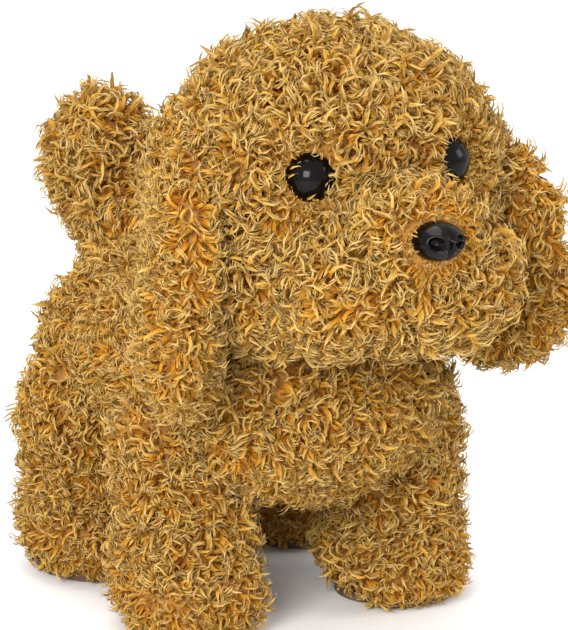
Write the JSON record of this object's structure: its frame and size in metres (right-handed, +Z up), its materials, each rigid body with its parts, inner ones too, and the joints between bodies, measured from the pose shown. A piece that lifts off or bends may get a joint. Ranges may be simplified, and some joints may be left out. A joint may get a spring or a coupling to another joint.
{
  "type": "walking plush toy puppy",
  "caption": "Battery-operated plush toy puppy with hanging ears, round muzzle and pom tail, on four geared walking legs with an inner plastic chassis.",
  "frame": {"origin": "on the floor under the middle of the part, at the bottom centre of its bounding box", "axes": "-Y the way the puppy faces, +X its left side, +Z up"},
  "size_m": [0.119, 0.206, 0.171],
  "materials": {
    "chassis_plastic": "satin moulded ABS",
    "leg_plastic": "satin moulded ABS",
    "gear_nylon": "moulded acetal",
    "steel": "plated steel",
    "motor_steel": "zinc-plated steel can",
    "cell_wrap": "printed-free plastic wrap",
    "board": "phenolic board",
    "speaker_paper": "paper cone in a pressed frame",
    "knob_plastic": "moulded knob",
    "plush": "long curled pile",
    "stuffing": "polyester fibre",
    "rubber": "soft moulded rubber",
    "black_gloss": "polished"
  },
  "bodies": {
    "chassis": {"chassis_left": "chassis_plastic", "chassis_right": "chassis_plastic", "neck_post": "leg_plastic", "battery_tray": "chassis_plastic", "battery_cell_left": "cell_wrap", "battery_cell_right": "cell_wrap", "battery_spring_left": "steel", "battery_spring_right": "steel", "battery_contact": "steel", "circuit_board": "board", "speaker": "speaker_paper", "switch_body": "motor_steel", "motor": "motor_steel", "gearbox_plate": "chassis_plastic", "axle_one": "steel", "axle_two": "steel", "hip_screw_front_left": "steel", "hip_screw_front_right": "steel", "hip_screw_rear_left": "steel", "hip_screw_rear_right": "steel", "torso_plush": "plush"},
    "motor_shaft": {"motor_pinion": "gear_nylon"},
    "first_gear": {"gear_one": "gear_nylon"},
    "second_gear": {"gear_two": "gear_nylon"},
    "crank": {"crankshaft": "gear_nylon", "crank_disc_left": "leg_plastic", "crank_disc_right": "leg_plastic"},
    "leg_front_left": {"leg_frame_front_left": "leg_plastic", "leg_boot_front_left": "plush", "sole_pad_front_left": "rubber"},
    "leg_front_right": {"leg_frame_front_right": "leg_plastic", "leg_boot_front_right": "plush", "sole_pad_front_right": "rubber"},
    "leg_rear_left": {"leg_frame_rear_left": "leg_plastic", "leg_boot_rear_left": "plush", "sole_pad_rear_left": "rubber"},
    "leg_rear_right": {"leg_frame_rear_right": "leg_plastic", "leg_boot_rear_right": "plush", "sole_pad_rear_right": "rubber"},
    "rod_left": {"link_rod_left": "leg_plastic"},
    "rod_right": {"link_rod_right": "leg_plastic"},
    "tail": {"tail_rocker": "leg_plastic", "tail_plush": "plush"},
    "head": {"head_frame": "leg_plastic", "head_stuffing": "stuffing", "head_plush": "plush", "eye_left": "black_gloss", "eye_right": "black_gloss", "eye_washer_left": "leg_plastic", "eye_washer_right": "leg_plastic", "nose": "black_gloss", "nose_washer": "leg_plastic", "ear_pin_left": "steel", "ear_pin_right": "steel"},
    "ear_flap_left": {"ear_left": "plush"},
    "ear_flap_right": {"ear_right": "plush"},
    "door": {"battery_door": "chassis_plastic", "door_screw": "steel"},
    "switch": {"switch_knob": "knob_plastic"}
  },
  "joints": [
    {"name": "rear_left_leg_swing", "type": "hinge", "parent": "chassis", "child": "leg_rear_left", "pos_m": [0, 0.042, 0.057], "axis": [1, 0, 0], "range_deg": [-9.46, 9.46]},
    {"name": "crank_turn", "type": "hinge", "parent": "chassis", "child": "crank", "pos_m": [0, 0.042, 0.072], "axis": [1, 0, 0], "range_deg": [-90.02, 90.02]},
    {"name": "gear_two_turn", "type": "hinge", "parent": "chassis", "child": "second_gear", "pos_m": [0, 0.027, 0.072], "axis": [1, 0, 0], "range_deg": [-360.07, 360.07]},
    {"name": "gear_one_turn", "type": "hinge", "parent": "chassis", "child": "first_gear", "pos_m": [0, 0.0135, 0.072], "axis": [1, 0, 0], "range_deg": [-1260.25, 1260.25]},
    {"name": "motor_spin", "type": "hinge", "parent": "chassis", "child": "motor_shaft", "pos_m": [0, 0, 0.072], "axis": [1, 0, 0], "range_deg": [-4410.88, 4410.88]},
    {"name": "front_left_leg_swing", "type": "hinge", "parent": "chassis", "child": "leg_front_left", "pos_m": [0, -0.02, 0.057], "axis": [1, 0, 0], "range_deg": [-9.46, 9.46]},
    {"name": "front_right_leg_swing", "type": "hinge", "parent": "chassis", "child": "leg_front_right", "pos_m": [0, -0.02, 0.057], "axis": [1, 0, 0], "range_deg": [-9.46, 9.46]},
    {"name": "rear_right_leg_swing", "type": "hinge", "parent": "chassis", "child": "leg_rear_right", "pos_m": [0, 0.042, 0.057], "axis": [1, 0, 0], "range_deg": [-9.46, 9.46]},
    {"name": "rod_left_turn", "type": "hinge", "parent": "leg_rear_left", "child": "rod_left", "pos_m": [0, 0.042, 0.045], "axis": [1, 0, 0], "range_deg": [-9.46, 9.46]},
    {"name": "rod_right_turn", "type": "hinge", "parent": "leg_rear_right", "child": "rod_right", "pos_m": [0, 0.042, 0.045], "axis": [1, 0, 0], "range_deg": [-9.46, 9.46]},
    {"name": "tail_wag", "type": "hinge", "parent": "chassis", "child": "tail", "pos_m": [-0.006, 0, 0.0825], "axis": [0, 1, 0], "range_deg": [-17, 17]},
    {"name": "head_nod", "type": "hinge", "parent": "chassis", "child": "head", "pos_m": [0, -0.043, 0.128], "axis": [1, 0, 0], "range_deg": [-6, 6], "stiffness_Nm_per_rad": 2},
    {"name": "ear_left_lift", "type": "hinge", "parent": "head", "child": "ear_flap_left", "pos_m": [0.049, -0.047, 0.15], "axis": [0, 1, 0], "range_deg": [-60, 0]},
    {"name": "ear_right_lift", "type": "hinge", "parent": "head", "child": "ear_flap_right", "pos_m": [-0.049, -0.047, 0.15], "axis": [0, 1, 0], "range_deg": [0, 60]},
    {"name": "battery_door_slide", "type": "slide", "parent": "chassis", "child": "door", "axis": [0, 0, -1], "range_m": [0, 0.02]},
    {"name": "switch_slide", "type": "slide", "parent": "chassis", "child": "switch", "axis": [1, 0, 0], "range_m": [0, 0.004]}
  ],
  "couplings": [
    {"joint": "crank_turn", "follows": "rear_left_leg_swing", "ratio": 9.5137},
    {"joint": "gear_two_turn", "follows": "rear_left_leg_swing", "ratio": -38.055},
    {"joint": "gear_one_turn", "follows": "rear_left_leg_swing", "ratio": 133.19},
    {"joint": "motor_spin", "follows": "rear_left_leg_swing", "ratio": -466.17},
    {"joint": "front_left_leg_swing", "follows": "rear_left_leg_swing", "ratio": 1},
    {"joint": "front_right_leg_swing", "follows": "rear_left_leg_swing", "ratio": -1},
    {"joint": "rear_right_leg_swing", "follows": "rear_left_leg_swing", "ratio": -1},
    {"joint": "rod_left_turn", "follows": "rear_left_leg_swing", "ratio": -1},
    {"joint": "rod_right_turn", "follows": "rear_left_leg_swing", "ratio": 1},
    {"joint": "tail_wag", "follows": "rear_left_leg_swing", "ratio": 1.797}
  ]
}
